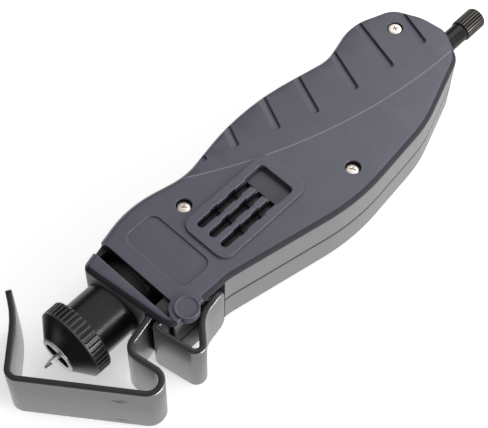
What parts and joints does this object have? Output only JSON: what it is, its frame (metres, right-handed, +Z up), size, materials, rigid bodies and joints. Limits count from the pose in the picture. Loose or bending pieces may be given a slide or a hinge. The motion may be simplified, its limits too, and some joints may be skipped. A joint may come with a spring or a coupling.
{
  "type": "round cable stripper",
  "caption": "Hand-held round cable stripper with a sprung hook lever, a turning blade turret with a depth knob, and a screw at the rear that holds a spare blade",
  "frame": {"origin": "on the flat underside, below the axis of the rear screw, midway along the tool", "axes": "+X to the rear end, +Y to the waved grip edge, +Z up through the face with the panel"},
  "size_m": [0.1581, 0.0439, 0.0206],
  "materials": {
    "shell": "fine moulded texture, blue-grey",
    "shell_screw": "bright nickel plated",
    "strip_steel": "cold rolled strip, lightly brushed",
    "pin_steel": "plain ground steel",
    "spring_steel": "drawn spring wire",
    "sleeve": "black, smooth, semi matt",
    "knob": "black moulded, semi matt",
    "guide": "turned, satin",
    "feed_brass": "turned brass",
    "blade_steel": "ground tool steel",
    "dark_steel": "black oxide, oiled",
    "oring": "soft black rubber"
  },
  "bodies": {
    "grip": {"upper_shell": "shell", "lower_shell": "shell", "shell_screw_front": "shell_screw", "shell_screw_middle": "shell_screw", "shell_screw_rear": "shell_screw", "lever_pin": "pin_steel", "lever_washer_top": "pin_steel", "lever_washer_bottom": "pin_steel", "return_spring": "spring_steel", "turret_washer": "pin_steel", "detent_ball": "pin_steel", "detent_spring": "spring_steel", "rear_nut": "feed_brass", "screw_oring": "oring"},
    "lever": {"hook_lever": "strip_steel"},
    "turret": {"turret_sleeve": "sleeve", "blade_guide": "guide", "knob_washer": "pin_steel"},
    "dial": {"depth_knob": "knob"},
    "feed": {"feed_ring": "feed_brass", "cutting_blade": "blade_steel"},
    "store": {"blade_stalk": "sleeve", "spare_blade": "blade_steel"},
    "end_screw": {"rear_screw": "dark_steel"}
  },
  "joints": [
    {"name": "lever_hinge", "type": "hinge", "parent": "grip", "child": "lever", "pos_m": [-0.0474, -0.0073, 0.00985], "axis": [0, 0, 1], "range_deg": [0, 18], "stiffness_Nm_per_rad": 0.3, "springref_deg": -20.05, "deforming": ["return_spring"]},
    {"name": "turret_turn", "type": "hinge", "parent": "grip", "child": "turret", "pos_m": [-0.06, 0.0064, 0.00985], "axis": [1, 0, 0], "range_deg": [0, 90]},
    {"name": "depth_turn", "type": "hinge", "parent": "turret", "child": "dial", "pos_m": [-0.067, 0.0064, 0.00985], "axis": [1, 0, 0], "range_deg": [-480.6, 120.6]},
    {"name": "blade_feed", "type": "slide", "parent": "turret", "child": "feed", "axis": [-1, 0, 0], "range_m": [-0.002, 0.0005]},
    {"name": "store_slide", "type": "slide", "parent": "grip", "child": "store", "axis": [1, 0, 0], "range_m": [0, 0.0032]},
    {"name": "end_screw_turn", "type": "hinge", "parent": "store", "child": "end_screw", "pos_m": [0.06, 0, 0.00985], "axis": [1, 0, 0], "range_deg": [0, 1441]}
  ],
  "couplings": [
    {"joint": "depth_turn", "follows": "blade_feed", "rad_per_m": 4188.8},
    {"joint": "end_screw_turn", "follows": "store_slide", "rad_per_m": 7854}
  ]
}
